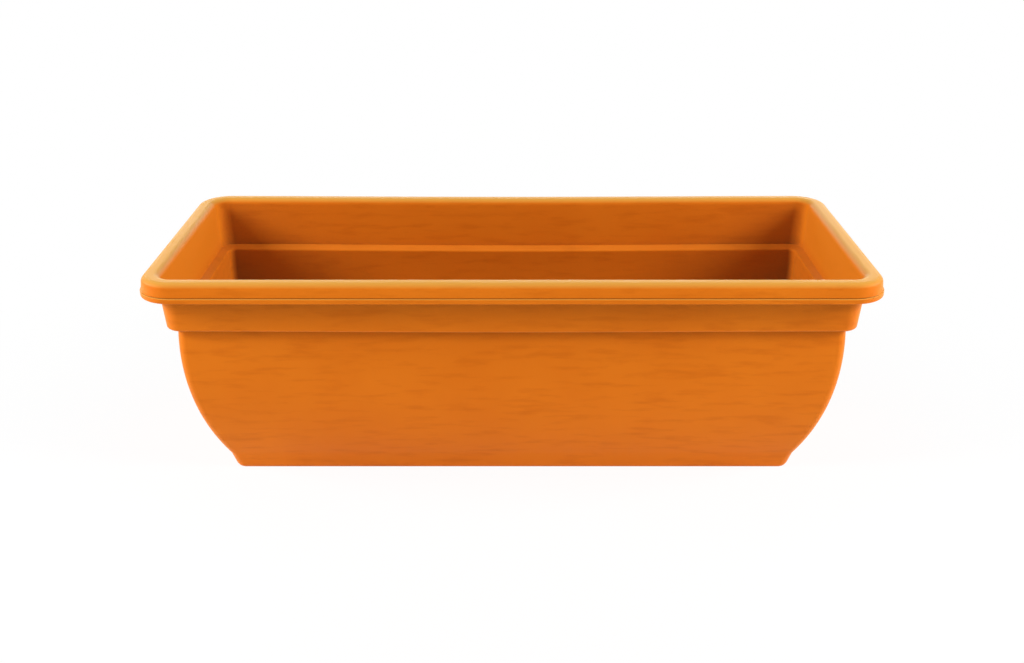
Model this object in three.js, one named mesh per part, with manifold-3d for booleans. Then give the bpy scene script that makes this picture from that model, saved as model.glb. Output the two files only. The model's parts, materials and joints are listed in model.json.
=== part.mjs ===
// Window box planter: one moulded trough with a hollow rolled rim, a neck band, a bell-shaped body
// and a low foot, and six push-fit drain plugs that lift out of the floor.
// Millimetres, +Z up. X runs along the length, the front faces -Y, and z = 0 is where the foot rests.

import * as THREE from 'three';
import { mergeVertices } from 'three/addons/utils/BufferGeometryUtils.js';
import Module from 'manifold-3d';

// ---- Driving dimensions -------------------------------------------------------------------------

const LENGTH = 600;
const WIDTH = 240;
const HEIGHT = 196;
const WALL = 2.5; // moulded wall, nearly even all round

// An "inset" is a horizontal distance inwards from the LENGTH x WIDTH outline.

const RIM = {
  depth: 16, // from the crest down to the lower edge of the skirt
  lipHeight: 4, // raised band along the lower edge of the skirt
  lipProud: 1,
  lipEdge: 0.6, // chamfer on the band's edges
  lean: 1.4, // how far the skirt leans inwards between the band and the crest
  roll: 10, // radius of the rolled outer edge
  channelEdge: 3, // radius where the channel's ceiling meets the neck
  innerEdge: 4, // radius of the edge round the opening
  opening: 17.3, // inset of the opening
  corner: 30, // corner radius in plan, at the skirt
};

const NECK = {
  topInset: 14.5, // outer face, under the rim
  bottomInset: 17.5, // outer face, just above the shoulder
  corner: 14,
};

const SHOULDER = {
  underside: 148, // height of the shoulder's underside
  edge: 3, // radius of its outer edge
  inset: 25, // where the underside meets the bell
  drop: 1, // how far the underside falls towards the bell
};

const LEDGE = {
  top: 151.4, // where the neck's inner face meets the ledge
  slopeRun: 6,
  slopeDrop: 2,
  bottom: 147,
};

const BELL = {
  footInset: 50.6, // outer face where the bell meets the foot
  footHeight: 15,
  bulge: 9.1, // how far the curved wall stands out from a straight one
  corner: 8,
};

const FOOT = {
  faceInset: 53.3, // outer face, just above its lower edge
  edgeHeight: 1.5,
  edgeRun: 1.6,
  ringWidth: 3.2, // flat ring that the planter stands on
  ringDraft: 2.5, // how much wider the recess is at its ceiling
};

const FLOOR = { top: 11, thickness: 3, fillet: 8 };

const RIBS = {
  thickness: 2.2,
  clearance: 3, // height of the ribs' lower edges above the ground
  crossAt: [-224, -80, 80, 224],
};

const DRAIN_CHANNEL = { width: 26, height: 2.6 }; // one through each end of the foot

const DRAIN = {
  columns: { left: -160, centre: 0, right: 160 },
  rows: { front: -30, back: 30 },
  topRadius: 8.9,
  bottomRadius: 8.5,
  collarRadius: 12,
  collarBottom: 4,
  collarDraft: 1,
};

const PLUG = {
  clearance: 0.3, // to the floor and to the hole
  flangeRadius: 13.5,
  flangeThickness: 2,
  flangeEdge: 0.6, // chamfer round the flange
  bottom: 4.6,
  boreRadius: 6.2, // the plug is hollow from below
  crownThickness: 1.6,
  tabWidth: 15,
  tabHeight: 10,
  tabThickness: 2.6,
  tabCorner: 4.5,
  tabHoleRadius: 2.8,
  tabHoleHeight: 5.5,
};

const CORNER_STEPS = 7; // flat facets in each plan corner
const LATHE_SIDES = 24;
const OVERLAP = 0.6; // how far joined solids run into each other
const PAST = 1; // how far a cutting solid runs past a face

// ---- Materials ----------------------------------------------------------------------------------

const troughPlastic = new THREE.MeshStandardMaterial({ color: 0xdb731a, roughness: 0.48, metalness: 0 });
const plugPlastic = new THREE.MeshStandardMaterial({ color: 0xb8560f, roughness: 0.55, metalness: 0 });

// ---- Solids -------------------------------------------------------------------------------------

const wasm = await Module();
wasm.setup();

function toSolid(geometry) {
  const bare = geometry.clone();
  bare.deleteAttribute('normal');
  bare.deleteAttribute('uv');
  const merged = mergeVertices(bare, 1e-4);
  return new wasm.Manifold(new wasm.Mesh({
    numProp: 3,
    vertProperties: new Float32Array(merged.attributes.position.array),
    triVerts: new Uint32Array(merged.index.array),
  }));
}

function toGeometry(solid) {
  const mesh = solid.getMesh();
  const geometry = new THREE.BufferGeometry();
  geometry.setAttribute('position', new THREE.BufferAttribute(mesh.vertProperties, 3));
  geometry.setIndex(new THREE.BufferAttribute(mesh.triVerts, 1));
  geometry.computeVertexNormals();
  return geometry;
}

function boxBetween(x0, x1, y0, y1, z0, z1) {
  return new THREE.BoxGeometry(x1 - x0, y1 - y0, z1 - z0)
    .translate((x0 + x1) / 2, (y0 + y1) / 2, (z0 + z1) / 2);
}

// A solid of revolution about a vertical axis at (x, y); the profile is a list of [radius, height].
function turned(profile, x = 0, y = 0) {
  const points = profile.map(([radius, height]) => new THREE.Vector2(radius, height));
  return new THREE.LatheGeometry(points, LATHE_SIDES).rotateX(Math.PI / 2).translate(x, y, 0);
}

// ---- The trough's section -----------------------------------------------------------------------
// Each point is { inset, z, corner }: an inset from the outline, a height and a plan corner radius.
// The points run from the recess under the floor, out over the whole wall, to the top of the floor.

const at = (inset, z, corner) => ({ inset, z, corner });

// Points on a circle in the section. Angles are in degrees: 0 points inwards, 90 points up.
function arc(centreInset, centreZ, radius, from, to, steps, cornerAt) {
  return Array.from({ length: steps + 1 }, (_, i) => {
    const angle = THREE.MathUtils.degToRad(from + ((to - from) * i) / steps);
    const inset = centreInset + radius * Math.cos(angle);
    return at(inset, centreZ + radius * Math.sin(angle), cornerAt(inset));
  });
}

function degreesTo(run, rise) {
  return (THREE.MathUtils.radToDeg(Math.atan2(rise, run)) + 360) % 360;
}

// The plan corners tighten steadily from the skirt to the neck.
const rimCorner = (inset) => THREE.MathUtils.mapLinear(
  Math.min(inset, NECK.topInset), 0, NECK.topInset, RIM.corner, NECK.corner);
const neckInnerCorner = () => NECK.corner - WALL;
const bellCorner = () => BELL.corner;
const bellInnerCorner = () => BELL.corner - WALL;

// The bell's outer face is one arc from the shoulder to the foot, through a given bulge.
function bellArc() {
  const topZ = SHOULDER.underside - SHOULDER.drop;
  const run = BELL.footInset - SHOULDER.inset;
  const fall = topZ - BELL.footHeight;
  const chord = Math.hypot(run, fall);
  const radius = (chord * chord / 4 + BELL.bulge * BELL.bulge) / (2 * BELL.bulge);
  const reach = radius - BELL.bulge;
  const centreInset = (SHOULDER.inset + BELL.footInset) / 2 + (reach * fall) / chord;
  const centreZ = (topZ + BELL.footHeight) / 2 + (reach * run) / chord;
  return {
    centreInset,
    centreZ,
    radius,
    topAngle: degreesTo(SHOULDER.inset - centreInset, topZ - centreZ),
    footAngle: degreesTo(BELL.footInset - centreInset, BELL.footHeight - centreZ),
  };
}

function footAndBellOutside(bell) {
  const ringOuter = FOOT.faceInset + FOOT.edgeRun;
  const ringInner = ringOuter + FOOT.ringWidth;
  const ceiling = FLOOR.top - FLOOR.thickness;
  return [
    at(ringInner - FOOT.ringDraft, ceiling, bellInnerCorner()),
    at(ringInner, 0, bellInnerCorner()),
    at(ringOuter, 0, bellCorner()),
    at(FOOT.faceInset + FOOT.edgeRun / 3, FOOT.edgeHeight / 3, bellCorner()),
    at(FOOT.faceInset, FOOT.edgeHeight, bellCorner()),
    ...arc(bell.centreInset, bell.centreZ, bell.radius, bell.footAngle, bell.topAngle, 11, bellCorner),
  ];
}

function shoulderAndNeckOutside() {
  const edgeZ = SHOULDER.underside + SHOULDER.edge;
  const edgeInset = NECK.bottomInset + SHOULDER.edge;
  const neckCorner = () => NECK.corner;
  return arc(edgeInset, edgeZ, SHOULDER.edge, 270, 180, 3, neckCorner);
}

// The rim is an upside-down channel, open from below, with an even wall.
function rimOutside() {
  const bottom = HEIGHT - RIM.depth;
  const lipTop = bottom + RIM.lipHeight;
  const lean = Math.atan2(RIM.lean, HEIGHT - lipTop);
  const skirtEnd = 180 - THREE.MathUtils.radToDeg(lean);
  const innerFoot = RIM.lipProud + WALL - RIM.lipHeight * Math.tan(lean);

  // The roll touches the leaning skirt and the flat crest.
  const rollZ = HEIGHT - RIM.roll;
  const rollInset = RIM.lipProud + (RIM.roll + (rollZ - lipTop) * Math.sin(lean)) / Math.cos(lean);
  const ceiling = HEIGHT - WALL;
  const channelInset = NECK.topInset - RIM.channelEdge;
  const edge = RIM.lipEdge;
  return [
    ...arc(channelInset, ceiling - RIM.channelEdge, RIM.channelEdge, 0, 90, 3, rimCorner),
    ...arc(rollInset, rollZ, RIM.roll - WALL, 90, skirtEnd, 5, rimCorner),
    at(innerFoot, bottom, rimCorner(innerFoot)),
    at(edge, bottom, rimCorner(edge)),
    at(0, bottom + edge, rimCorner(0)),
    at(0, lipTop - edge, rimCorner(0)),
    at(edge, lipTop, rimCorner(edge)),
    at(RIM.lipProud, lipTop, rimCorner(RIM.lipProud)),
    ...arc(rollInset, rollZ, RIM.roll, skirtEnd, 90, 7, rimCorner),
    ...arc(RIM.opening - RIM.innerEdge, HEIGHT - RIM.innerEdge, RIM.innerEdge, 90, 0, 4, rimInnerCorner),
  ];
}

// Over the rim's inner edge the corners tighten from the neck's outer to its inner radius.
function rimInnerCorner(inset) {
  const start = RIM.opening - RIM.innerEdge;
  return THREE.MathUtils.mapLinear(inset, start, RIM.opening, NECK.corner, neckInnerCorner());
}

function neckAndBellInside(bell) {
  const neckInset = NECK.bottomInset + WALL;
  const slopeInset = neckInset + LEDGE.slopeRun;
  const slopeZ = LEDGE.top - LEDGE.slopeDrop;
  const radius = bell.radius - WALL;
  const ledgeRise = LEDGE.bottom - bell.centreZ;
  const ledgeReach = Math.sqrt(radius ** 2 - ledgeRise ** 2);
  const ledgeInset = bell.centreInset - ledgeReach;
  const ledgeAngle = degreesTo(-ledgeReach, ledgeRise);

  // The fillet touches the bell's inner arc from inside and the floor from above.
  const filletZ = FLOOR.top + FLOOR.fillet;
  const filletRise = filletZ - bell.centreZ;
  const filletReach = Math.sqrt((radius - FLOOR.fillet) ** 2 - filletRise ** 2);
  const filletInset = bell.centreInset - filletReach;
  const filletAngle = degreesTo(-filletReach, filletRise);
  return [
    at(neckInset, LEDGE.top, neckInnerCorner()),
    at(slopeInset, slopeZ, neckInnerCorner()),
    at((slopeInset + 2 * ledgeInset) / 3, (2 * slopeZ + LEDGE.bottom) / 3, bellInnerCorner()),
    ...arc(bell.centreInset, bell.centreZ, radius, ledgeAngle, filletAngle, 11, bellInnerCorner),
    ...arc(filletInset, filletZ, FLOOR.fillet, filletAngle, 270, 3, bellInnerCorner).slice(1),
  ];
}

// ---- The trough's surface -----------------------------------------------------------------------

// A rounded rectangle at one point of the section, anticlockwise from above.
function ringAt({ inset, z, corner }) {
  const cx = LENGTH / 2 - inset - corner;
  const cy = WIDTH / 2 - inset - corner;
  const centres = [[cx, cy], [-cx, cy], [-cx, -cy], [cx, -cy]];
  return centres.flatMap(([x, y], quarter) => Array.from({ length: CORNER_STEPS + 1 }, (_, i) => {
    const angle = (quarter + i / CORNER_STEPS) * (Math.PI / 2);
    return new THREE.Vector3(x + corner * Math.cos(angle), y + corner * Math.sin(angle), z);
  }));
}

// Skins neighbouring rings and closes the first and the last with flat faces.
function loft(section) {
  const rings = section.map(ringAt);
  const count = rings[0].length;
  const positions = rings.flat().flatMap((p) => [p.x, p.y, p.z]);
  const index = [];
  for (let r = 0; r < rings.length - 1; r += 1) {
    for (let i = 0; i < count; i += 1) {
      const a = r * count + i;
      const b = r * count + ((i + 1) % count);
      index.push(a, b, a + count, b, b + count, a + count);
    }
  }
  const flat = (ring) => ring.map((p) => new THREE.Vector2(p.x, p.y));
  const last = (rings.length - 1) * count;
  THREE.ShapeUtils.triangulateShape(flat(rings[0]), []).forEach(([a, b, c]) => index.push(a, c, b));
  THREE.ShapeUtils.triangulateShape(flat(rings.at(-1)), [])
    .forEach(([a, b, c]) => index.push(last + a, last + b, last + c));
  const geometry = new THREE.BufferGeometry();
  geometry.setAttribute('position', new THREE.Float32BufferAttribute(positions, 3));
  geometry.setIndex(index);
  return geometry;
}

// ---- Drainage -----------------------------------------------------------------------------------

const drains = Object.entries(DRAIN.rows).flatMap(([row, y]) => (
  Object.entries(DRAIN.columns).map(([column, x]) => ({ name: `drain_plug_${row}_${column}`, x, y }))
));

// The taper of a drain hole, carried on past z0 and z1, with an optional clearance.
function taper(z0, z1, gap = 0) {
  const slope = (DRAIN.topRadius - DRAIN.bottomRadius) / (FLOOR.top - DRAIN.collarBottom);
  const radiusAt = (z) => DRAIN.bottomRadius + slope * (z - DRAIN.collarBottom) - gap;
  return [[radiusAt(z0), z0], [radiusAt(z1), z1]];
}

function collar({ x, y }) {
  const top = FLOOR.top - FLOOR.thickness + OVERLAP;
  return turned([
    [0, DRAIN.collarBottom],
    [DRAIN.collarRadius - DRAIN.collarDraft, DRAIN.collarBottom],
    [DRAIN.collarRadius, top],
    [0, top],
  ], x, y);
}

function drainHole({ x, y }) {
  const bottom = DRAIN.collarBottom - PAST;
  const top = FLOOR.top + PAST;
  return turned([[0, bottom], ...taper(bottom, top), [0, top]], x, y);
}

// ---- Ribs and channels under the floor ----------------------------------------------------------

function ribs() {
  const reach = FOOT.faceInset + FOOT.edgeRun;
  const halfLength = LENGTH / 2 - reach;
  const halfWidth = WIDTH / 2 - reach;
  const half = RIBS.thickness / 2;
  const top = FLOOR.top - FLOOR.thickness + OVERLAP;
  const spine = boxBetween(-halfLength, halfLength, -half, half, RIBS.clearance, top);
  const crossRibs = RIBS.crossAt.map((x) => (
    boxBetween(x - half, x + half, -halfWidth, halfWidth, RIBS.clearance, top)
  ));
  return [spine, ...crossRibs];
}

function drainChannel() {
  const half = DRAIN_CHANNEL.width / 2;
  return boxBetween(-LENGTH / 2, LENGTH / 2, -half, half, -PAST, DRAIN_CHANNEL.height);
}

// ---- Pieces -------------------------------------------------------------------------------------

function troughShell() {
  const bell = bellArc();
  const section = [
    ...footAndBellOutside(bell),
    ...shoulderAndNeckOutside(),
    ...rimOutside(),
    ...neckAndBellInside(bell),
  ];
  let body = toSolid(loft(section));
  for (const solid of [...ribs(), ...drains.map(collar)]) {
    body = body.add(toSolid(solid));
  }
  for (const cut of [drainChannel(), ...drains.map(drainHole)]) {
    body = body.subtract(toSolid(cut));
  }
  const mesh = new THREE.Mesh(toGeometry(body), troughPlastic);
  mesh.name = 'trough_shell';
  return mesh;
}

// A pull tab with rounded corners and a round hole, standing on the flange along X.
function pullTab(base) {
  const half = PLUG.tabWidth / 2;
  const top = PLUG.tabHeight;
  const corner = PLUG.tabCorner;
  const outline = new THREE.Shape();
  outline.moveTo(-half, 0);
  outline.lineTo(half, 0);
  outline.absarc(half - corner, top - corner, corner, 0, Math.PI / 2);
  outline.absarc(corner - half, top - corner, corner, Math.PI / 2, Math.PI);
  outline.closePath();
  const hole = new THREE.Path();
  hole.absarc(0, PLUG.tabHoleHeight, PLUG.tabHoleRadius, 0, Math.PI * 2, true);
  outline.holes.push(hole);
  return new THREE.ExtrudeGeometry(outline, {
    depth: PLUG.tabThickness,
    bevelEnabled: false,
    curveSegments: 6,
  }).translate(0, 0, -PLUG.tabThickness / 2).rotateX(Math.PI / 2).translate(0, 0, base);
}

// The plug's own origin is the middle of its hole, at the top of the floor.
function plugSolid() {
  const under = PLUG.clearance;
  const top = under + PLUG.flangeThickness;
  const bottom = PLUG.bottom - FLOOR.top;
  const edge = PLUG.flangeEdge;
  const shank = taper(PLUG.bottom, FLOOR.top + under, PLUG.clearance)
    .map(([radius, z]) => [radius, z - FLOOR.top]);
  const stopper = turned([
    [0, top - PLUG.crownThickness],
    [PLUG.boreRadius, top - PLUG.crownThickness],
    [PLUG.boreRadius, bottom],
    ...shank,
    [PLUG.flangeRadius - edge, under],
    [PLUG.flangeRadius, under + edge],
    [PLUG.flangeRadius, top - edge],
    [PLUG.flangeRadius - edge, top],
    [0, top],
  ]);
  return toGeometry(toSolid(stopper).add(toSolid(pullTab(top - OVERLAP))));
}

function drainPlug({ name, x, y }) {
  const mesh = new THREE.Mesh(plugSolid(), plugPlastic);
  mesh.name = name;
  mesh.position.set(x, y, FLOOR.top);
  return mesh;
}

const planter = new THREE.Group();
planter.add(troughShell());
const plugs = new THREE.Group();
plugs.add(...drains.map(drainPlug));
planter.add(plugs);

export default planter;
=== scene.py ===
# %% [markdown]
# # A moulded window box
#
# The real object is a long trough of orange polypropylene, shot in one piece in an injection
# mould, with six soft plugs pushed into its drain holes. This lesson builds its looks around a
# finished frame: the frame says how big the box is, where its floor is and where the plugs sit,
# and nothing here moves or resizes it.
#
# All sizes are in metres. X runs along the box, the front faces -Y, and z = 0 is the ground.

# %% Load the frame
import json
import math

import bmesh
import bpy
from mathutils import Matrix, Vector


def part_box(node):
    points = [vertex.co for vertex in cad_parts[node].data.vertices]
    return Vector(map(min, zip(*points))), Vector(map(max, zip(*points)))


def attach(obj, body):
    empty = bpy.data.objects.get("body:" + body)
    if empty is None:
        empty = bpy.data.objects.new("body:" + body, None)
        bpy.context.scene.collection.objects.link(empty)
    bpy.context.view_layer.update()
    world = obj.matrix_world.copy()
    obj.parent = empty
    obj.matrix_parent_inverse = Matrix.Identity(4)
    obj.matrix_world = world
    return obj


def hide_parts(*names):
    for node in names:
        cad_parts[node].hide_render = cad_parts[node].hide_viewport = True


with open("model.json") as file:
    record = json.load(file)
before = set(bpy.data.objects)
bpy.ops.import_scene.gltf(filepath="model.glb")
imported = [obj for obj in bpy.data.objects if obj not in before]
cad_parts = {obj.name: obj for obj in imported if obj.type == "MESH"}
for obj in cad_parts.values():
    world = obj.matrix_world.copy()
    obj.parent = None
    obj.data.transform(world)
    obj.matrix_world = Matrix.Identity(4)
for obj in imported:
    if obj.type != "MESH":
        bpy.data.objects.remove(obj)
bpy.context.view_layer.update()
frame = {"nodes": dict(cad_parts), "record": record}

MM = 0.001
shell_low, shell_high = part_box("trough_shell")
LENGTH = shell_high.x - shell_low.x
WIDTH = shell_high.y - shell_low.y
HEIGHT = shell_high.z
print(f"box is {LENGTH / MM:.0f} x {WIDTH / MM:.0f} x {HEIGHT / MM:.0f} mm")

# %% [markdown]
# ## The camera
#
# A product photo is taken from a tripod, a step back and a little above the rim, so that both
# the face and the inside show. The converging side rims and the height of the back rim above
# the front one fix where the camera stood. It is set first, because everything is judged by it.

# %% Camera
IMAGE_WIDTH = 1024  # pixels
FOCAL_PIXELS = 1145.1
CAMERA_AWAY = 0.9504  # in front of the middle of the box
CAMERA_UP = 0.5292
CAMERA_DOWN = math.radians(24.15)

camera_data = bpy.data.cameras.new("camera")
camera_data.sensor_width = 36.0
camera_data.lens = camera_data.sensor_width * FOCAL_PIXELS / IMAGE_WIDTH
camera = bpy.data.objects.new("camera", camera_data)
camera.location = (0.0, -CAMERA_AWAY, CAMERA_UP)
camera.rotation_euler = (math.pi / 2 - CAMERA_DOWN, 0.0, 0.0)
bpy.context.scene.collection.objects.link(camera)
bpy.context.scene.camera = camera
print(f"lens {camera_data.lens:.1f} mm")

# %% [markdown]
# ## Helpers for meshes
#
# Each piece is worked out point by point, put into a mesh, and then cut or joined like clay.
# Sculpting or box modelling would do too, but a mould is drawn in exact sizes, and points from a
# drawing keep them. A boolean's result is applied straight away, so that the piece stays a
# plain mesh and the next cut starts from it.

# %% New pieces and cuts
def new_piece(name, mesh_maker):
    """An object whose mesh is filled in by mesh_maker, with its faces turned outwards."""
    mesh = bpy.data.meshes.new(name)
    work = bmesh.new()
    mesh_maker(work)
    bmesh.ops.recalc_face_normals(work, faces=work.faces)
    work.to_mesh(mesh)
    work.free()
    piece = bpy.data.objects.new(name, mesh)
    bpy.context.scene.collection.objects.link(piece)
    return piece


def settle(piece):
    """Applies the piece's modifiers, so that it is a plain mesh again."""
    graph = bpy.context.evaluated_depsgraph_get()
    done = bpy.data.meshes.new_from_object(piece.evaluated_get(graph))
    old = piece.data
    piece.modifiers.clear()
    piece.data = done
    done.name = piece.name
    bpy.data.meshes.remove(old)


def carve(piece, tool, operation):
    """Joins the tool to the piece, or cuts it away, and throws the tool away."""
    step = piece.modifiers.new("carve", "BOOLEAN")
    step.operation = operation
    step.solver = "EXACT"
    step.object = tool
    settle(piece)
    bpy.data.objects.remove(tool)


# %% [markdown]
# A shell is skinned over rings of points, like canvas over the ribs of a boat. Smooth shading then
# hides the flats between the rings. It must stop at the real corners, so edges that turn
# sharply are marked, and weighted normals keep the big flat faces flat right up to their fillets.

# %% Skin and shading
SHARP = math.radians(38)


def skin(work, rings):
    """Joins neighbouring rings of points with four-sided faces and caps both ends."""
    rows = [[work.verts.new(point) for point in ring] for ring in rings]
    count = len(rows[0])
    for row, following in zip(rows, rows[1:]):
        for i in range(count):
            j = (i + 1) % count
            work.faces.new((row[i], row[j], following[j], following[i]))
    work.faces.new(rows[0])
    work.faces.new(rows[-1])


def shade(piece):
    """Smooth faces, with the real corners kept crisp."""
    piece.data.shade_smooth()
    piece.data.set_sharp_from_angle(angle=SHARP)
    flat_first = piece.modifiers.new("flat faces first", "WEIGHTED_NORMAL")
    flat_first.keep_sharp = True
    settle(piece)


print(f"edges that turn more than {math.degrees(SHARP):.0f} degrees stay crisp")

# %% [markdown]
# ## The section of the wall
#
# A moulded wall has one thickness nearly all round, because thick spots sink as they cool. So
# the whole box is one outline: out of the recess under the floor, round the foot, up the bell,
# over the shoulder, round the hollow rim and back down the inside. An inset is a distance inwards
# from the box's outer outline. A plan radius says how round the box's corner is, seen from
# above, at that point.
#
# The rim comes first. It is a roll with a skirt that leans in a little, so that the mould can
# let go of it, and it ends in a raised band that stiffens the edge.

# %% Rim and neck sizes
WALL = 2.5 * MM

RIM_DEPTH = 16.0 * MM  # crest to the lower edge of the skirt
RIM_ROLL = 10.0 * MM  # radius of the rolled outer edge
RIM_LEAN = 1.4 * MM  # how far the skirt leans inwards, from the band to the crest
RIM_INNER = 6.0 * MM  # radius round the opening
RIM_OPENING = 17.3 * MM  # inset of the opening
RIM_PLAN = 30.0 * MM
LIP_HEIGHT = 4.0 * MM  # raised band along the skirt's lower edge
LIP_PROUD = 1.0 * MM
GROOVE = 0.5 * MM  # fine line above the band, where two steels of the mould meet

NECK_TOP = 14.0 * MM  # inset under the rim
NECK_BOTTOM = 17.0 * MM
NECK_PLAN = 14.0 * MM
print(f"rim {RIM_DEPTH / MM:.0f} mm deep, standing {NECK_TOP / MM:.0f} mm out from the neck")

# %% [markdown]
# The shoulder outside and the ledge inside are one step in the wall, seen from both faces. Under
# it the bell narrows to a foot, which rests on a thin ring so that an uneven shelf doesn't
# rock the box.

# %% Shoulder, bell, foot and floor sizes
SHOULDER_Z = 148.6 * MM
SHOULDER_INSET = 25.0 * MM
SHOULDER_DROP = 1.0 * MM

LEDGE_TOP = 151.4 * MM
LEDGE_EDGE = 148.6 * MM
LEDGE_START = 1.2 * WALL  # how far in from the neck's outer face the ledge begins
LEDGE_INSET = 27.5 * MM
LEDGE_BOTTOM = 146.0 * MM

BELL_BULGE = 9.1 * MM
BELL_PLAN = 8.0 * MM
FOOT_INSET = 50.1 * MM  # where the bell meets the foot
FOOT_TOP = 15.0 * MM
FOOT_BEND = 3.0 * MM  # height at which the foot's face turns under
FOOT_FACE = 53.3 * MM
RING_OUTER = 54.7 * MM
RING_INNER = 58.1 * MM
RECESS_INSET = 55.6 * MM

FLOOR_TOP = 11.0 * MM
FLOOR_UNDER = 8.0 * MM
FLOOR_FILLET = 8.0 * MM
FLOOR_FLAT = 66.0 * MM  # inset inside which the floor is flat
CORNER_RISE = 10.0 * MM  # height above the floor at which the inner bell curve ends
print(f"shoulder at {SHOULDER_Z / MM:.1f} mm, floor {(FLOOR_TOP - FLOOR_UNDER) / MM:.1f} mm thick")

# %% [markdown]
# The bell is one circle, given by its two ends and by how far it swells out from a straight
# wall. A wide circle like this reads as a soft curve from the front and makes the long side
# stiff. The inner face is the same circle with the wall taken off its radius, which keeps the
# thickness even where a copied and moved curve wouldn't.

# %% Bell curve
def bell_circle():
    """Centre (inset, z) and radius of the outer face of the bell."""
    top = Vector((SHOULDER_INSET, SHOULDER_Z - SHOULDER_DROP))
    foot = Vector((FOOT_INSET, FOOT_TOP))
    chord = foot - top
    radius = (chord.length ** 2 / 4 + BELL_BULGE ** 2) / (2 * BELL_BULGE)
    inwards = Vector((-chord.y, chord.x)).normalized()
    return (top + foot) / 2 + inwards * (radius - BELL_BULGE), radius


BELL_CENTRE, BELL_RADIUS = bell_circle()


def bell_points(offset, from_z, to_z, plan, steps=26):
    """Points of the bell, offset inwards by the wall, between two heights."""
    radius = BELL_RADIUS - offset
    start = math.asin((from_z - BELL_CENTRE.y) / radius)
    end = math.asin((to_z - BELL_CENTRE.y) / radius)
    points = []
    for i in range(steps + 1):
        angle = start + (end - start) * i / steps
        inset = BELL_CENTRE.x - radius * math.cos(angle)
        points.append((inset, BELL_CENTRE.y + radius * math.sin(angle), plan, 0.0))
    return points


print(f"bell radius {BELL_RADIUS / MM:.0f} mm")

# %% [markdown]
# The outline is written as its corners only. `rounded` then rolls an arc into each corner, tangent
# to both sides, which is what a fillet is. A bevel modifier could round them later, but with one
# width unless each edge is weighted by hand, and a mould's cutter leaves each corner its own.
# Small radii still matter: they catch the thin bright lines along the lip and the shoulder that
# make plastic look moulded.

# %% Fillets
DEGREES_PER_STEP = 11


def rounded(outline):
    """Outline points (inset, z, plan, radius) as a fine line of (inset, z, plan)."""
    line = [outline[0][:3]]
    for before, corner, after in zip(outline, outline[1:], outline[2:]):
        at = Vector(corner[:2])
        back, ahead = Vector(before[:2]) - at, Vector(after[:2]) - at
        turn = math.pi - back.angle(ahead)
        reach = min(corner[3] * math.tan(turn / 2), 0.49 * back.length, 0.49 * ahead.length)
        if corner[3] == 0 or reach < 1e-7:
            line.append(corner[:3])
            continue
        start, end = at + back.normalized() * reach, at + ahead.normalized() * reach
        plan_start = corner[2] + (before[2] - corner[2]) * reach / back.length
        plan_end = corner[2] + (after[2] - corner[2]) * reach / ahead.length
        radius = reach / math.tan(turn / 2)
        bisector = (back.normalized() + ahead.normalized()).normalized()
        centre = at + bisector * math.hypot(radius, reach)
        steps = max(2, round(math.degrees(turn) / DEGREES_PER_STEP))
        first, last = start - centre, end - centre
        sweep = first.angle_signed(last)
        for i in range(steps + 1):
            share = i / steps
            point = centre + Matrix.Rotation(-sweep * share, 2) @ first
            line.append((point.x, point.y, plan_start + (plan_end - plan_start) * share))
    line.append(outline[-1][:3])
    return line


print(f"fillets turn by about {DEGREES_PER_STEP} degrees per step")


# %% [markdown]
# Seen from above, the rim's corners are much rounder than the neck's. Between the two, the plan
# radius changes evenly with the inset, so the underside of the roll twists smoothly round each
# corner.

# %% Rim helpers
neck_inside = NECK_PLAN - WALL
bell_inside = BELL_PLAN - WALL
skirt_bottom = HEIGHT - RIM_DEPTH
lip_top = skirt_bottom + LIP_HEIGHT
ceiling = HEIGHT - WALL
lean_per_rise = RIM_LEAN / (HEIGHT - lip_top)


def rim_plan(inset):
    """The plan corners tighten from the skirt to the neck."""
    return RIM_PLAN + (NECK_PLAN - RIM_PLAN) * min(inset, NECK_TOP) / NECK_TOP


def rim_corner(inset, z, radius):
    """An outline corner on the rim, with the plan radius that belongs to its inset."""
    return inset, z, rim_plan(inset), radius


def skirt(z, offset=0.0):
    """Inset of the leaning skirt at a height; the offset is the wall, for its inner face."""
    return LIP_PROUD + (z - lip_top) * lean_per_rise + offset


print(f"skirt from {skirt_bottom / MM:.0f} mm, with its band up to {lip_top / MM:.0f} mm")

# %% [markdown]
# Now the outline itself, corner by corner. Each corner is its inset, its height, its plan radius
# and the radius of its fillet. Read from the top of the list, it walks from under the floor,
# up the outside, over the rim and down the inside to the floor.

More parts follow.
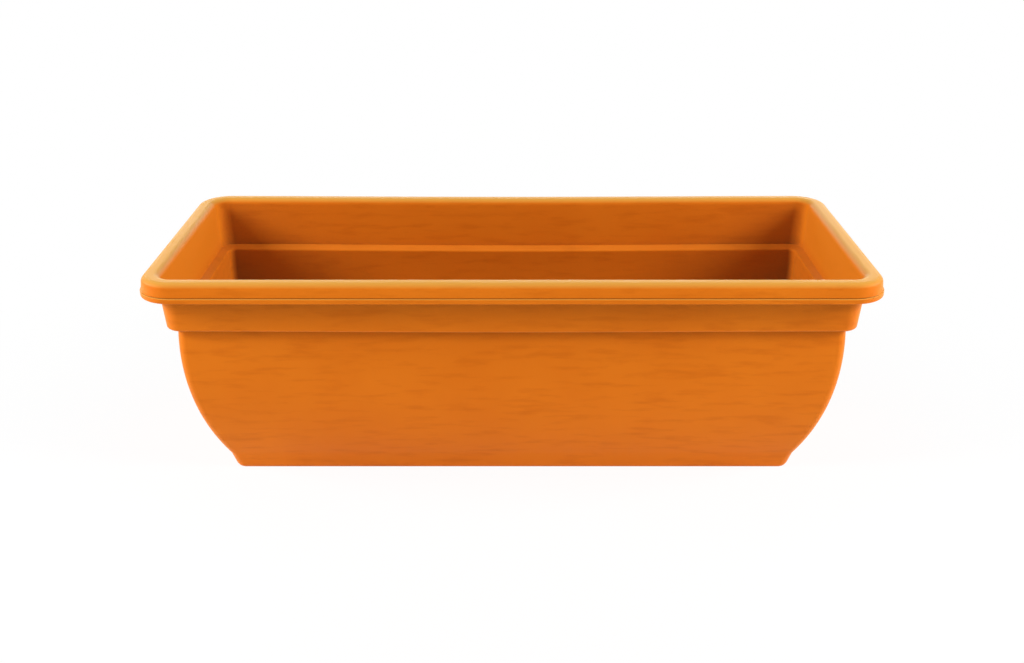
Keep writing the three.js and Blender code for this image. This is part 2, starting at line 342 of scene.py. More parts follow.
# %% Outline
shoulder_low = SHOULDER_Z - SHOULDER_DROP
wall_meets_floor = bell_points(WALL, FLOOR_TOP, FLOOR_TOP, bell_inside, 1)[0][0]
outline = [
    (RECESS_INSET, FLOOR_UNDER, bell_inside, 0.0),
    (RING_INNER, 0.0, bell_inside, 0.6 * MM),
    (RING_OUTER, 0.0, BELL_PLAN, 1.4 * MM),
    (FOOT_FACE, FOOT_BEND, BELL_PLAN, 6.0 * MM),
    *bell_points(0.0, FOOT_TOP, shoulder_low - 0.2 * MM, BELL_PLAN),
    (SHOULDER_INSET, shoulder_low, BELL_PLAN, 0.5 * MM),
    (NECK_BOTTOM, SHOULDER_Z, NECK_PLAN, 3.0 * MM),
    (NECK_TOP, ceiling, NECK_PLAN, 3.0 * MM),
    rim_corner(skirt(ceiling, WALL), ceiling, RIM_ROLL - WALL),
    rim_corner(skirt(skirt_bottom, WALL), skirt_bottom, 0.4 * MM),
    rim_corner(0.0, skirt_bottom, 0.7 * MM),
    rim_corner(0.0, lip_top, 0.5 * MM),
    rim_corner(LIP_PROUD + GROOVE, lip_top + 0.1 * MM, 0.1 * MM),
    rim_corner(skirt(lip_top + GROOVE), lip_top + 2.0 * GROOVE, 0.2 * MM),
    rim_corner(skirt(HEIGHT), HEIGHT, RIM_ROLL),
    (RIM_OPENING, HEIGHT, neck_inside, RIM_INNER),
    (NECK_BOTTOM + LEDGE_START, LEDGE_TOP, neck_inside, 0.6 * MM),
    (LEDGE_INSET, LEDGE_EDGE, bell_inside, 2.6 * MM),
    *bell_points(WALL, LEDGE_BOTTOM, FLOOR_TOP + CORNER_RISE, bell_inside),
    (wall_meets_floor, FLOOR_TOP, bell_inside, FLOOR_FILLET),
    (FLOOR_FLAT, FLOOR_TOP, bell_inside, 0.0),
]
section = rounded(outline)
print(f"section has {len(section)} points from {len(outline)} corners")

# %% [markdown]
# ## From section to shell
#
# Each section point becomes a rounded rectangle round the whole box, and neighbouring rectangles
# are skinned with four-sided faces. Sweeping a curve along a path is Blender's usual way, but
# there the corner radius follows from the path, and here each height has its own. The straight
# runs are divided too, so that the walls can bow in the next step.

# %% Rounded rectangles
CORNER_STEPS = 12
LONG_STEPS = 36
SHORT_STEPS = 14


def ring(inset, z, plan):
    """A rounded rectangle as a closed list of points, anticlockwise from above."""
    cx, cy = LENGTH / 2 - inset - plan, WIDTH / 2 - inset - plan
    middles = [(cx, cy), (-cx, cy), (-cx, -cy), (cx, -cy)]
    points = []
    for quarter, (x, y) in enumerate(middles):
        for i in range(CORNER_STEPS + 1):
            angle = (quarter + i / CORNER_STEPS) * math.pi / 2
            points.append(Vector((x + plan * math.cos(angle), y + plan * math.sin(angle), z)))
        next_x, next_y = middles[(quarter + 1) % 4]
        end = Vector((next_x + plan * math.cos(angle), next_y + plan * math.sin(angle), z))
        start = points[-1]
        steps = LONG_STEPS if quarter % 2 == 0 else SHORT_STEPS
        points.extend([start.lerp(end, i / steps) for i in range(1, steps)])
    return points


print(f"{len(ring(0.0, 0.0, RIM_PLAN))} points round each ring")

# %% [markdown]
# Real troughs are never dead straight: the long sides shrink inwards a little as they cool, and
# sag between their ends. The foot and the hollow rim are stiff, so the shoulder sags the most.
# The photo shows about a millimetre of each. The bend is worked into the points before they
# become a mesh. A lattice would do it too, but is harder to keep off the floor and the foot.

# %% Shrinking and sagging
WALL_BOW = 1.2 * MM  # inwards, at the middle of a long side
RIM_SAG = 0.5 * MM
SHOULDER_SAG = 1.2 * MM


def cooled(point):
    """Where a moulded point ends up once the long walls have shrunk and the rim has sagged."""
    along = min(1.0, abs(point.x) / (LENGTH / 2 - RIM_PLAN))
    middle = (1 - along ** 2) ** 2
    height = max(0.0, point.z / HEIGHT)
    side = max(-1.0, min(1.0, point.y / (WIDTH / 4)))
    if point.z < SHOULDER_Z:
        sag = SHOULDER_SAG * max(0.0, point.z / SHOULDER_Z) ** 2
    else:
        share = min(1.0, (point.z - SHOULDER_Z) / (skirt_bottom - SHOULDER_Z))
        sag = SHOULDER_SAG + (RIM_SAG - SHOULDER_SAG) * share
    return point + Vector((0, -WALL_BOW * side * height, -sag)) * middle


crest_middle = Vector((0.0, -WIDTH / 2, HEIGHT))
print(f"the crest moves {(cooled(crest_middle) - crest_middle).length / MM:.1f} mm at the middle")

# %% [markdown]
# The section ends where the floor turns flat. More rings carry on towards the middle, above and
# below, so that no face of the floor is long and thin when the drain holes are cut through it.

# %% Skin the shell
FLOOR_STEP = 9 * MM
FLOOR_LAST = WIDTH / 2 - 3 * MM  # inset of the innermost ring
CORNER_LOSS = 0.85  # share of the plan radius that the rings lose on their way there


def floor_rings(z, inset, plan):
    """Rings from the wall towards the middle of the floor."""
    count = round((FLOOR_LAST - inset) / FLOOR_STEP)
    shares = [i / count for i in range(1, count + 1)]
    return [(inset + (FLOOR_LAST - inset) * s, z, plan * (1 - CORNER_LOSS * s)) for s in shares]


under = floor_rings(FLOOR_UNDER, RECESS_INSET, bell_inside)
above = floor_rings(FLOOR_TOP, FLOOR_FLAT, bell_inside)
levels = [*reversed(under), *section, *above]
rings = [[cooled(point) for point in ring(*level)] for level in levels]
trough = new_piece("trough", lambda work: skin(work, rings))
print(f"{len(levels)} rings, {len(trough.data.polygons)} faces")

# %% [markdown]
# ## Drains, ribs and channels
#
# Whatever was turned on a lathe in the mould is turned here too: a line of points goes once
# round the Z axis. Whatever was milled is a block with its edges rounded. Both are plain solids,
# which the next cells join to the shell or cut out of it.

# %% Turned and milled solids
TURNED_SIDES = 72
BEVEL_STEPS = 3


def turn(work, line, sides=TURNED_SIDES):
    """A turned solid about the Z axis from (radius, z) points that run from axis to axis."""
    rows = []
    for radius, z in line:
        if radius == 0:
            rows.append([work.verts.new((0, 0, z))])
            continue
        angles = [2 * math.pi * i / sides for i in range(sides)]
        rows.append([work.verts.new((radius * math.cos(a), radius * math.sin(a), z)) for a in angles])
    for row, following in zip(rows, rows[1:]):
        for i in range(sides):
            j = (i + 1) % sides
            corners = [row[i % len(row)], row[j % len(row)], following[j % len(following)],
                       following[i % len(following)]]
            work.faces.new(list(dict.fromkeys(corners)))


def turned_line(outline):
    """Rounds a turned outline of (radius, z, fillet) points."""
    line = rounded([(radius, z, 0.0, fillet) for radius, z, fillet in outline])
    return [(radius, z) for radius, z, _ in line]


def round_edges(work, edges, radius):
    bmesh.ops.bevel(work, geom=list(edges), offset=radius, segments=BEVEL_STEPS, profile=0.5,
                    affect="EDGES")


def block(work, low, high, radius):
    """A box between two corners, with rounded edges."""
    size = Vector(high) - Vector(low)
    middle = (Vector(high) + Vector(low)) / 2
    place = Matrix.Translation(middle) @ Matrix.Diagonal((*size, 1.0))
    made = bmesh.ops.create_cube(work, size=1.0, matrix=place)
    round_edges(work, {edge for vert in made["verts"] for edge in vert.link_edges}, radius)


print(f"{TURNED_SIDES} sides round a turned solid, {BEVEL_STEPS} steps across a rounded edge")


# %% [markdown]
# Thin ribs keep the long floor flat: one runs the length of it, and four cross it. They reach a
# little into the floor, and their ends cross the slant of the recess's wall, because faces that
# only touch are what a boolean handles worst.

# %% Ribs
RIB_THICKNESS = 2.2 * MM
RIB_BOTTOM = 3.0 * MM
RIB_PLACES = [-0.224, -0.08, 0.08, 0.224]  # along X
RIB_EDGE = 0.5 * MM
OVERLAP = 0.8 * MM  # into the floor, and from the ribs' ends to the recess's upper edge

rib_reach_x = LENGTH / 2 - RECESS_INSET - OVERLAP
rib_reach_y = WIDTH / 2 - RECESS_INSET - OVERLAP
rib_top = FLOOR_UNDER + OVERLAP
ribs = [((-rib_reach_x, -RIB_THICKNESS / 2, RIB_BOTTOM), (rib_reach_x, RIB_THICKNESS / 2, rib_top))]
for x in RIB_PLACES:
    ribs.append(((x - RIB_THICKNESS / 2, -rib_reach_y, RIB_BOTTOM),
                 (x + RIB_THICKNESS / 2, rib_reach_y, rib_top)))
for low, high in ribs:
    carve(trough, new_piece("rib", lambda work: block(work, low, high, RIB_EDGE)), "UNION")
print(f"{len(ribs)} ribs, {(rib_top - OVERLAP - RIB_BOTTOM) / MM:.0f} mm tall")

# %% [markdown]
# Each drain hole tapers, so that a plug wedges in it, and a short collar under the floor gives
# the plug something to grip. The frame already says where the plugs are, so the holes are
# placed by them and can't drift apart from them.

# %% Collars and holes
DRAIN_TOP_RADIUS = 8.9 * MM
DRAIN_BOTTOM_RADIUS = 8.5 * MM
COLLAR_RADIUS = 12.0 * MM
COLLAR_BOTTOM = 4.0 * MM
COLLAR_DRAFT = 0.8 * MM  # how much narrower the collar is at its lower end
PAST = 1.0 * MM  # how far a cutter runs past the faces that it cuts

drain_centres = {}
for node in frame["nodes"]:
    if node.startswith("drain_plug"):
        low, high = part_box(node)
        drain_centres[node] = Vector(((low.x + high.x) / 2, (low.y + high.y) / 2, 0.0))

collar_line = turned_line([(0, COLLAR_BOTTOM, 0),
                           (COLLAR_RADIUS - COLLAR_DRAFT, COLLAR_BOTTOM, 0.6 * MM),
                           (COLLAR_RADIUS, rib_top, 0),
                           (0, rib_top, 0)])
hole_line = [(0, COLLAR_BOTTOM - PAST), (DRAIN_BOTTOM_RADIUS, COLLAR_BOTTOM - PAST),
             (DRAIN_TOP_RADIUS, FLOOR_TOP + PAST), (0, FLOOR_TOP + PAST)]
for centre in drain_centres.values():
    for line, operation in ((collar_line, "UNION"), (hole_line, "DIFFERENCE")):
        tool = new_piece("turned", lambda work: turn(work, line))
        tool.data.transform(Matrix.Translation(centre))
        carve(trough, tool, operation)
print(f"{len(drain_centres)} drain holes, {2 * DRAIN_TOP_RADIUS / MM:.1f} mm across at the top")

# %% [markdown]
# Water that leaves the holes still has to get out from under the box, so a low channel passes
# under each end of the foot. One long block cuts both at once. With it the shell is complete,
# and its shading is settled.

# %% Foot channel
CHANNEL_WIDTH = 26.0 * MM
CHANNEL_HEIGHT = 2.6 * MM
CHANNEL_START = -6.0 * MM  # well under the ground, so that the block's lower edges cut nothing
CHANNEL_EDGE = 2.0 * MM

half = CHANNEL_WIDTH / 2
channel = new_piece("channel", lambda work: block(
    work, (-LENGTH / 2, -half, CHANNEL_START), (LENGTH / 2, half, CHANNEL_HEIGHT), CHANNEL_EDGE))
carve(trough, channel, "DIFFERENCE")
shade(trough)
print(f"trough has {len(trough.data.polygons)} faces after joining and cutting")

# %% [markdown]
# ## The drain plugs
#
# A plug is a little stopper of softer plastic: a flange that lies on the floor, a tapered
# hollow shank that squeezes into the hole, and a tab to pull it by. The tab is an arch drawn flat,
# given a thickness and rounded at its edges, with an eye through it for a fingernail.

# %% Pull tab
TAB_WIDTH = 15.0 * MM
TAB_HEIGHT = 10.0 * MM
TAB_THICKNESS = 2.6 * MM
TAB_CORNER = 4.5 * MM
TAB_EDGE = 0.7 * MM
TAB_EYE = 2.8 * MM
TAB_EYE_UP = 5.5 * MM
TAB_STEPS = 10
EYE_SIDES = 40


def tab_outline():
    """The tab's outer edge from foot to foot, as (x, height) points."""
    half = TAB_WIDTH / 2
    points = [(half, 0.0)]
    for x, start in ((half - TAB_CORNER, 0.0), (TAB_CORNER - half, math.pi / 2)):
        for i in range(TAB_STEPS + 1):
            angle = start + math.pi / 2 * i / TAB_STEPS
            points.append((x + TAB_CORNER * math.cos(angle),
                           TAB_HEIGHT - TAB_CORNER + TAB_CORNER * math.sin(angle)))
    return [*points, (-half, 0.0)]


def slab(work, points, thickness, base, radius):
    """An upright outline given a thickness, with its long edges rounded."""
    front = [work.verts.new((x, -thickness / 2, base + z)) for x, z in points]
    back = [work.verts.new((x, thickness / 2, base + z)) for x, z in points]
    faces = [work.faces.new(front), work.faces.new(list(reversed(back)))]
    for i in range(len(points)):
        j = (i + 1) % len(points)
        work.faces.new((front[j], front[i], back[i], back[j]))
    round_edges(work, {edge for face in faces for edge in face.edges}, radius)


def pull_tab(base):
    """The tab, with its eye, standing on a height."""
    tab = new_piece("tab", lambda work: slab(work, tab_outline(), TAB_THICKNESS, base, TAB_EDGE))
    eye_line = [(0, -TAB_THICKNESS), (TAB_EYE, -TAB_THICKNESS), (TAB_EYE, TAB_THICKNESS),
                (0, TAB_THICKNESS)]
    eye = new_piece("eye", lambda work: turn(work, eye_line, EYE_SIDES))
    upright = Matrix.Rotation(math.pi / 2, 4, "X")
    eye.data.transform(Matrix.Translation((0, 0, base + TAB_EYE_UP)) @ upright)
    carve(tab, eye, "DIFFERENCE")
    return tab


print(f"tab {TAB_WIDTH / MM:.0f} x {TAB_HEIGHT / MM:.0f} mm, drawn with {len(tab_outline())} points")


# %% [markdown]
# The flange and the shank are turned in one go, from the hollow of the shank, round its tip, along
# the flange and into the shallow dish on top. The gap of 0.3 mm to the hole and the floor keeps
# the two pieces from touching, so that neither flickers through the other.

# %% Plugs
PLUG_GAP = 0.3 * MM
PLUG_BOTTOM = 4.6 * MM
FLANGE_RADIUS = 13.5 * MM
FLANGE_THICKNESS = 2.0 * MM
BORE_RADIUS = 6.2 * MM
BORE_DRAFT = 0.2 * MM
CROWN = 1.6 * MM  # thickness of plastic over the bore
DISH_RIM = 3.0 * MM  # width of the flat rim round the dish
DISH_DEPTH = 0.4 * MM
TAB_ROOT = 1.0 * MM  # how deep the tab is rooted in the flange

flange_under = FLOOR_TOP + PLUG_GAP
flange_top = flange_under + FLANGE_THICKNESS
dish_edge = FLANGE_RADIUS - DISH_RIM
plug_line = turned_line([
    (0, flange_top - CROWN, 0),
    (BORE_RADIUS, flange_top - CROWN, 0.8 * MM),
    (BORE_RADIUS + BORE_DRAFT, PLUG_BOTTOM, 0.4 * MM),
    (DRAIN_BOTTOM_RADIUS - PLUG_GAP, PLUG_BOTTOM, 0.8 * MM),
    (DRAIN_TOP_RADIUS - PLUG_GAP, flange_under, 0.3 * MM),
    (FLANGE_RADIUS, flange_under, 0.4 * MM),
    (FLANGE_RADIUS, flange_top, 0.9 * MM),
    (dish_edge, flange_top, 0.3 * MM),
    (dish_edge - DISH_DEPTH, flange_top - DISH_DEPTH, 0.3 * MM),
    (0, flange_top - DISH_DEPTH, 0),
])


def plug_piece(name, centre):
    """One drain plug over its hole."""
    plug = new_piece(name, lambda work: turn(work, plug_line))
    carve(plug, pull_tab(flange_top - TAB_ROOT), "UNION")
    plug.data.transform(Matrix.Translation(centre))
    shade(plug)
    return plug


plugs = {node: plug_piece(node.replace("drain_plug", "plug"), centre)
         for node, centre in drain_centres.items()}
print(f"{len(plugs)} plugs, {len(next(iter(plugs.values())).data.polygons)} faces each")

# %% [markdown]
# ## Who rides on what
#
# The shell stands for the frame's trough and the plugs for theirs. Each rides on its own body,
# so that a plug comes out when its joint is pulled.

# %% Ride
body_of_node = {node: body for body, nodes in frame["record"]["behaviour"]["bodies"].items()
                for node in nodes}
for node, piece in (("trough_shell", trough), *plugs.items()):
    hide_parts(node)
    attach(piece, body_of_node[node])

# %% [markdown]
# ## Helpers for materials
#
# A finish is a small tree of nodes. Each helper adds one node, or one short chain, and returns its
# output, so that a material reads as a recipe. All noises lie in object coordinates: these
# sit still on the piece when it moves, and need no unwrapping.

# %% Material, noise and range
def new_material(name):
    """A material with one principled shader; gives the material, its tree and the shader."""
    material = bpy.data.materials.new(name)
    material.use_nodes = True
    tree = material.node_tree
    tree.nodes.clear()
    shader = tree.nodes.new("ShaderNodeBsdfPrincipled")
    output = tree.nodes.new("ShaderNodeOutputMaterial")
    tree.links.new(shader.outputs["BSDF"], output.inputs["Surface"])
    return material, tree, shader


def noise(tree, scale, detail=3.0, stretch=(1.0, 1.0, 1.0)):
    """A noise over object coordinates; scale is in features per metre before the stretch."""
    place = tree.nodes.new("ShaderNodeTexCoord")
    mapping = tree.nodes.new("ShaderNodeMapping")
    mapping.inputs["Scale"].default_value = stretch
    texture = tree.nodes.new("ShaderNodeTexNoise")
    texture.inputs["Scale"].default_value = scale
    texture.inputs["Detail"].default_value = detail
    tree.links.new(place.outputs["Object"], mapping.inputs["Vector"])
    tree.links.new(mapping.outputs["Vector"], texture.inputs["Vector"])
    return texture.outputs["Fac"]


def spread(tree, value, low, high, to_low, to_high):
    """Maps a value from one range to another, and clamps it."""
    node = tree.nodes.new("ShaderNodeMapRange")
    node.inputs["From Min"].default_value = low
    node.inputs["From Max"].default_value = high
    node.inputs["To Min"].default_value = to_low
    node.inputs["To Max"].default_value = to_high
    tree.links.new(value, node.inputs["Value"])
    return node.outputs["Result"]


print(f"{len(bpy.data.materials)} materials before the first finish")


# %% [markdown]
# Masks are multiplied where two conditions must both hold, and a mask then mixes one colour into
# another. Bumps are chained, so that a wide ripple and a fine grain add up on one skin.

# %% Products, mixes and bumps
def product(tree, first, second):
    """Multiplies two outputs."""
    node = tree.nodes.new("ShaderNodeMath")
    node.operation = "MULTIPLY"
    tree.links.new(first, node.inputs[0])
    tree.links.new(second, node.inputs[1])
    return node.outputs[0]


def blend_colours(tree, share, first, second):
    """A mix of two colours; each is a colour or another node's output."""
    node = tree.nodes.new("ShaderNodeMix")
    node.data_type = "RGBA"
    tree.links.new(share, node.inputs["Factor"])
    for colour, socket in ((first, node.inputs["A"]), (second, node.inputs["B"])):
        if isinstance(colour, bpy.types.NodeSocket):
            tree.links.new(colour, socket)
        else:
            socket.default_value = (*colour, 1.0)
    return node.outputs["Result"]


def bumps(tree, heights):
    """Chains bump nodes; each entry is (height output, distance in metres, strength)."""
    normal = None
    for height, distance, strength in heights:
        node = tree.nodes.new("ShaderNodeBump")
        node.inputs["Distance"].default_value = distance
        node.inputs["Strength"].default_value = strength
        tree.links.new(height, node.inputs["Height"])
        if normal is not None:
            tree.links.new(normal, node.inputs["Normal"])
        normal = node.outputs["Normal"]
    return normal


# %% [markdown]
# ## The trough's plastic
#
# Coloured polypropylene is not one flat orange. The pigment clouds a little, and the melt leaves
# long, faint flow marks along the way it filled the mould. Each is one noise at its own size. The
# flow marks are the same kind of noise as the clouds, squeezed in height and depth, which draws
# them out along the box.

# %% Moulded tones
ORANGE = (0.680, 0.160, 0.0080)
ORANGE_DEEP = (0.590, 0.130, 0.0058)
ORANGE_PALE = (0.720, 0.180, 0.0095)
FLOW_STRETCH = (1.0, 4.0, 6.0)


def moulded_tones(tree, clouds):
    """The tones of the melt: clouds of pigment, flow marks and fine specks."""
    flow = noise(tree, 30.0, 6.0, stretch=FLOW_STRETCH)
    specks = noise(tree, 1400.0, 1.0)
    colour = blend_colours(tree, spread(tree, clouds, 0.35, 0.65, 0.0, 1.0), ORANGE, ORANGE_PALE)
    colour = blend_colours(tree, spread(tree, flow, 0.50, 0.70, 0.0, 0.6), colour, ORANGE_DEEP)
    return blend_colours(tree, spread(tree, specks, 0.55, 0.8, 0.0, 0.25), colour, ORANGE_PALE)


print(f"deep to pale orange: red {ORANGE_DEEP[0]:.2f} to {ORANGE_PALE[0]:.2f}")


# %% [markdown]
# The painted light and shade have a place rather than a pattern, so they need masks. A mask can
# read which way the skin faces, how high it is, and how closed in it is. The last comes from an
# ambient occlusion node, which looks round from each point and says how much of its view is open
# within a given distance. It is told to look at its own piece alone, or the floor would darken the
# outside of the box too.

# %% Masks
RIM_HEIGHTS = (0.160, 0.185)  # between these, the painted light on the rim's top comes in
SIGHT_SAMPLES = 6


def height_above_ground(tree):
    """Height of a point above the ground, in metres."""
    place = tree.nodes.new("ShaderNodeTexCoord")
    parts = tree.nodes.new("ShaderNodeSeparateXYZ")
    tree.links.new(place.outputs["Object"], parts.inputs[0])
    return parts.outputs["Z"]


def facing(tree, axis):
    """How far the skin faces along an axis, from -1 to 1."""
    geometry = tree.nodes.new("ShaderNodeNewGeometry")
    parts = tree.nodes.new("ShaderNodeSeparateXYZ")
    tree.links.new(geometry.outputs["Normal"], parts.inputs[0])
    return parts.outputs[axis]


def facing_ends(tree):
    """1 on the two end walls and 0 on the long ones."""
    along = facing(tree, "X")
    return spread(tree, product(tree, along, along), 0.30, 0.90, 0.0, 1.0)


def facing_sides(tree):
    """1 on the two long walls and little elsewhere."""
    across = facing(tree, "Y")
    return spread(tree, product(tree, across, across), 0.10, 0.80, 0.15, 1.0)


# This mask carries the painted light on the rim's top.
def facing_up(tree):
    """1 on the top of the rim, which faces straight up; less on upright skin and further down."""
    up = spread(tree, facing(tree, "Z"), 0.40, 0.95, 0.0, 1.0)
    high = spread(tree, height_above_ground(tree), *RIM_HEIGHTS, 0.1, 1.0)
    return product(tree, up, high)


def hollow(tree, reach, closed, wide_open):
    """1 where a point sees little around it, 0 where it sees a lot; the last two are shares."""
    sight = tree.nodes.new("ShaderNodeAmbientOcclusion")
    sight.samples = SIGHT_SAMPLES
    sight.only_local = True
    sight.inputs["Distance"].default_value = reach
    return spread(tree, sight.outputs["AO"], closed, wide_open, 1.0, 0.0)


print(f"each look round a point takes {SIGHT_SAMPLES} rays")


# %% [markdown]
# Four touches of painted light and shade are placed this way. The end walls are painted a little
# golden from the neck up: painted light where the lamps along the box fall on them. The long walls
# are painted brown towards the inner corners, most of all below the ledge: painted shade for the
# dark wedges. Creases, such as the one under the rim, keep a thin brown line of painted shade. The
# top of the rim is painted paler and yellower: painted light on the skin that faces up.
#
# Light bounced between orange walls fills the corners more in Blender than on the real box, and
# the painted shade takes it back.

# %% Painted light and shade
# Painted light: the end walls are painted golden where the lamps along the box fall on them.
ORANGE_PAINTED_LIGHT_ENDS = (0.760, 0.210, 0.0110)
# Painted shade, for the inner corners and the creases.
ORANGE_PAINTED_SHADE = (0.145, 0.066, 0.0170)
# Painted light: the top of the rim is painted paler and yellower where it faces up.
ORANGE_PAINTED_LIGHT_TOP = (0.740, 0.345, 0.0560)
NECK_HEIGHTS = (0.150, 0.160)  # between these, the painted light on the end walls comes in
LEDGE_HEIGHTS = (0.120, 0.147)  # between these, the painted shade in the corners lets off
LONG_SIGHT = 0.17  # reach of the mask for the whole inside
SHORT_SIGHT = 0.02  # and of the one for creases


def painted_light_and_shade(tree, colour):
    """Painted light on the end walls and the rim's top, and painted shade in corners and creases, laid
    over another colour.
    """
    # Painted light on the end walls, from the neck up.
    ends = facing_ends(tree)
    in_neck = spread(tree, height_above_ground(tree), *NECK_HEIGHTS, 0.0, 1.0)
    colour = blend_colours(tree, product(tree, ends, in_neck), colour, ORANGE_PAINTED_LIGHT_ENDS)
    lower = spread(tree, height_above_ground(tree), *LEDGE_HEIGHTS, 1.25, 1.0)
    # Painted shade towards the inner corners of the long walls, strongest below the ledge.
    deep = product(tree, hollow(tree, LONG_SIGHT, 0.30, 0.86), product(tree, facing_sides(tree), lower))
    colour = blend_colours(tree, deep, colour, ORANGE_PAINTED_SHADE)
    # Painted shade: a thin brown line along creases, such as under the rim.
    painted_crease_shade = hollow(tree, SHORT_SIGHT, 0.00, 0.60)
    colour = blend_colours(tree, painted_crease_shade, colour, ORANGE_PAINTED_SHADE)
    # Painted light on the rim's top, which faces up.
    return blend_colours(tree, facing_up(tree), colour, ORANGE_PAINTED_LIGHT_TOP)


# How red the painted shade is, against open skin.
print(f"a hollow is {ORANGE_PAINTED_SHADE[0] / ORANGE[0]:.0%} as red as open skin")


# %% [markdown]
# The skin is satin: the mould's steel was blasted to a fine grain, which spreads the highlights,
# and the walls ripple very slightly as they cool. The gloss is low and tinted by the pigment,
# and a thin warm sheen lightens the skin where it turns away from the eye. A plain grey gloss
# would lay a cold veil over the orange.

# %% Satin polypropylene
GLOSS_TINT = (1.0, 0.50, 0.08)
SHEEN_TINT = (0.90, 0.72, 0.20)


def trough_plastic():
    material, tree, shader = new_material("trough_plastic")
    clouds = noise(tree, 9.0, 4.0)
    colour = painted_light_and_shade(tree, moulded_tones(tree, clouds))
    tree.links.new(colour, shader.inputs["Base Color"])
    tree.links.new(spread(tree, clouds, 0.3, 0.7, 0.40, 0.50), shader.inputs["Roughness"])
    shader.inputs["IOR"].default_value = 1.49
    shader.inputs["Specular IOR Level"].default_value = 0.16
    shader.inputs["Specular Tint"].default_value = (*GLOSS_TINT, 1.0)
    shader.inputs["Sheen Weight"].default_value = 0.25
    shader.inputs["Sheen Roughness"].default_value = 0.35
    shader.inputs["Sheen Tint"].default_value = (*SHEEN_TINT, 1.0)
    grain = noise(tree, 900.0, 2.0)
    ripple = noise(tree, 40.0, 2.0, stretch=(0.5, 1.0, 1.0))
    normal = bumps(tree, [(ripple, 0.0006, 0.12), (grain, 0.00004, 0.5)])
    tree.links.new(normal, shader.inputs["Normal"])
    return material


trough.data.materials.clear()
trough.data.materials.append(trough_plastic())
print("trough plastic: clouds, flow marks, specks, placed tones, ripple and grain")

# %% [markdown]
# ## The plugs' plastic
#
# The plugs are a softer grade, a deeper orange with a duller skin. They are small, so their clouds
# and grain are finer. All six come from one mould and share one material.

# %% Plug plastic
PLUG_ORANGE = (0.500, 0.112, 0.0070)
PLUG_ORANGE_DEEP = (0.420, 0.088, 0.0055)


def plug_plastic():
    material, tree, shader = new_material("plug_plastic")
    clouds = noise(tree, 120.0, 3.0)
    grain = noise(tree, 1500.0, 2.0)
    colour = blend_colours(tree, spread(tree, clouds, 0.35, 0.65, 0.0, 1.0), PLUG_ORANGE, PLUG_ORANGE_DEEP)
    tree.links.new(colour, shader.inputs["Base Color"])
    tree.links.new(spread(tree, clouds, 0.3, 0.7, 0.50, 0.60), shader.inputs["Roughness"])
    shader.inputs["IOR"].default_value = 1.51
    shader.inputs["Specular IOR Level"].default_value = 0.2
    shader.inputs["Specular Tint"].default_value = (*GLOSS_TINT, 1.0)
    normal = bumps(tree, [(grain, 0.00005, 0.5)])
    tree.links.new(normal, shader.inputs["Normal"])
    return material


soft_orange = plug_plastic()
for piece in plugs.values():
    piece.data.materials.clear()
    piece.data.materials.append(soft_orange)
print("plug plastic: clouds and grain")

# %% [markdown]
# ## Floor and backdrop
#
# The box stands on a plain white sweep. For light that bounces, the floor is white card, which
# fills the underside of the bell with soft light. For the eye, and for what the gloss mirrors,
# most of its white is its own, so that it stays even out to the horizon while the rest of the
# card still shows the soft shadow round the foot. The world does the same above the horizon.
# The light path node tells the two kinds of ray apart.

# %% Seen rays
def seen_rays(tree):
    """1 where the camera, a glossy ray or a see-through ray looks, and 0 for bounced light."""
    rays = tree.nodes.new("ShaderNodeLightPath")
    seen = rays.outputs["Is Camera Ray"]
    for kind in ("Is Glossy Ray", "Is Transmission Ray"):
        either = tree.nodes.new("ShaderNodeMath")
        either.operation = "MAXIMUM"
        tree.links.new(seen, either.inputs[0])
        tree.links.new(rays.outputs[kind], either.inputs[1])
        seen = either.outputs[0]
    return seen


# %% [markdown]
# The card's own white takes over with the distance from the box, so that the shadow fades out
# before the picture's edge. One big square is enough for the floor: it has no shape of its own.

# %% Floor
FLOOR_HALF = 14.0  # metres from the middle to the edge
CARD_WHITE = (0.93, 0.93, 0.93)
OWN_WHITE = 0.90  # share of the floor's white that is its own, near the box
SHADOW_NEAR, SHADOW_FAR = 0.36, 0.66  # metres from the middle, over which the shadow fades out


def white_card():
    material, tree, card = new_material("white_card")
    fibres = noise(tree, 60.0, 2.0)
    tree.links.new(spread(tree, fibres, 0.0, 1.0, 0.80, 0.90), card.inputs["Roughness"])
    card.inputs["Base Color"].default_value = (*CARD_WHITE, 1.0)
    card.inputs["Specular IOR Level"].default_value = 0.2
    place = tree.nodes.new("ShaderNodeTexCoord")
    away = tree.nodes.new("ShaderNodeVectorMath")
    away.operation = "LENGTH"
    tree.links.new(place.outputs["Object"], away.inputs[0])
    own = spread(tree, away.outputs["Value"], SHADOW_NEAR, SHADOW_FAR, OWN_WHITE, 1.0)
    glow = tree.nodes.new("ShaderNodeEmission")
    glow.inputs["Color"].default_value = (1.0, 1.0, 1.0, 1.0)
    glow.inputs["Strength"].default_value = 1.0
    mix = tree.nodes.new("ShaderNodeMixShader")
    tree.links.new(product(tree, own, seen_rays(tree)), mix.inputs[0])
    tree.links.new(card.outputs["BSDF"], mix.inputs[1])
    tree.links.new(glow.outputs["Emission"], mix.inputs[2])
    output = next(node for node in tree.nodes if node.type == "OUTPUT_MATERIAL")
    tree.links.new(mix.outputs["Shader"], output.inputs["Surface"])
    return material


def floor_mesh(work):
    corners = [(-FLOOR_HALF, -FLOOR_HALF), (FLOOR_HALF, -FLOOR_HALF),
               (FLOOR_HALF, FLOOR_HALF), (-FLOOR_HALF, FLOOR_HALF)]
    work.faces.new([work.verts.new((x, y, 0.0)) for x, y in corners])


floor = new_piece("floor", floor_mesh)
floor.data.materials.append(white_card())
print(f"floor {2 * FLOOR_HALF:.0f} m wide")
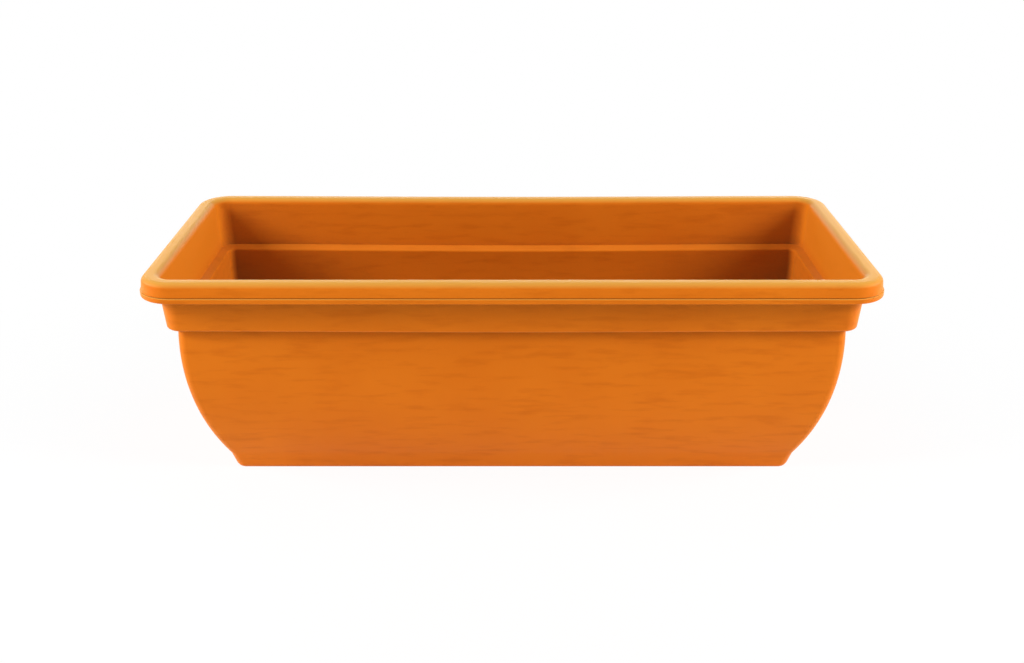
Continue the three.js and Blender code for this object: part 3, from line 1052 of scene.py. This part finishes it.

# %% [markdown]
# ## Light
#
# Six soft boxes stand in four groups, each with one job. Their powers were first found by rendering
# each group alone: light adds up, so such pictures can be weighed against each other without
# rendering again. Then they were trimmed.
#
# 1. An end pair shines along the box. It lights the end walls inside and the top of the rim, and
#    leaves the long walls almost dark. It stands far off, so that the end next to a lamp
#    isn't lit much more than the end opposite.
# 2. A wide pair stands closer and forward. It lights the face, the neck and the back wall
#    inside, and each end wall hides its own lamp from the corner behind it, which draws the
#    dark wedge.
# 3. A low, wide box in front fills the face under the shoulder and hardly reaches the inside.
# 4. A long box behind glances off the top of the rim and gives it its pale gloss line.

# %% Soft boxes
END_PLACE = (2.60, 0.08, 1.05)  # the right-hand lamp of the pair; the left one mirrors it
END_SIZE = (0.70, 0.80)
END_POWER = 37.0
WIDE_PLACE = (1.30, -0.55, 0.90)
WIDE_SIZE = (0.45, 0.55)
WIDE_POWER = 16.0
BACK_PLACE = (0.0, 2.2, 0.75)
BACK_SIZE = (3.4, 0.6)
BACK_POWER = 18.0
FRONT_PLACE = (0.0, -2.3, 0.40)
FRONT_SIZE = (2.6, 0.6)
FRONT_POWER = 7.8
AIM = Vector((0.0, 0.0, 0.12))


def soft_box(name, place, size, power):
    """A rectangular lamp aimed at the planter."""
    data = bpy.data.lights.new(name, "AREA")
    data.shape = "RECTANGLE"
    data.size, data.size_y = size
    data.energy = power
    lamp = bpy.data.objects.new(name, data)
    lamp.location = place
    lamp.rotation_euler = (AIM - Vector(place)).to_track_quat("-Z", "Y").to_euler()
    bpy.context.scene.collection.objects.link(lamp)


for name, side in (("left", -1), ("right", 1)):
    mirror = Vector((side, 1.0, 1.0))
    soft_box(f"end_{name}", Vector(END_PLACE) * mirror, END_SIZE, END_POWER)
    soft_box(f"wide_{name}", Vector(WIDE_PLACE) * mirror, WIDE_SIZE, WIDE_POWER)
soft_box("back", BACK_PLACE, BACK_SIZE, BACK_POWER)
soft_box("front", FRONT_PLACE, FRONT_SIZE, FRONT_POWER)
print(f"{2 * (END_POWER + WIDE_POWER) + BACK_POWER + FRONT_POWER:.0f} W in six soft boxes")

# %% [markdown]
# The world is the white behind everything. It is only there to be seen and mirrored, and lights
# nothing itself, because light from all round would wash out the dark corners. The plain Standard
# view is chosen so that a colour comes out as it is written.

# %% World
def white_world():
    """White where the camera, gloss or glass looks at it, and dark for bounced light."""
    world = bpy.data.worlds.new("white_world")
    world.use_nodes = True
    tree = world.node_tree
    tree.nodes.clear()
    light = tree.nodes.new("ShaderNodeBackground")
    light.inputs["Color"].default_value = (1.0, 1.0, 1.0, 1.0)
    tree.links.new(seen_rays(tree), light.inputs["Strength"])
    output = tree.nodes.new("ShaderNodeOutputWorld")
    tree.links.new(light.outputs["Background"], output.inputs["Surface"])
    return world


bpy.context.scene.world = white_world()
bpy.context.scene.view_settings.view_transform = "Standard"
print(f"view is {bpy.context.scene.view_settings.view_transform}")
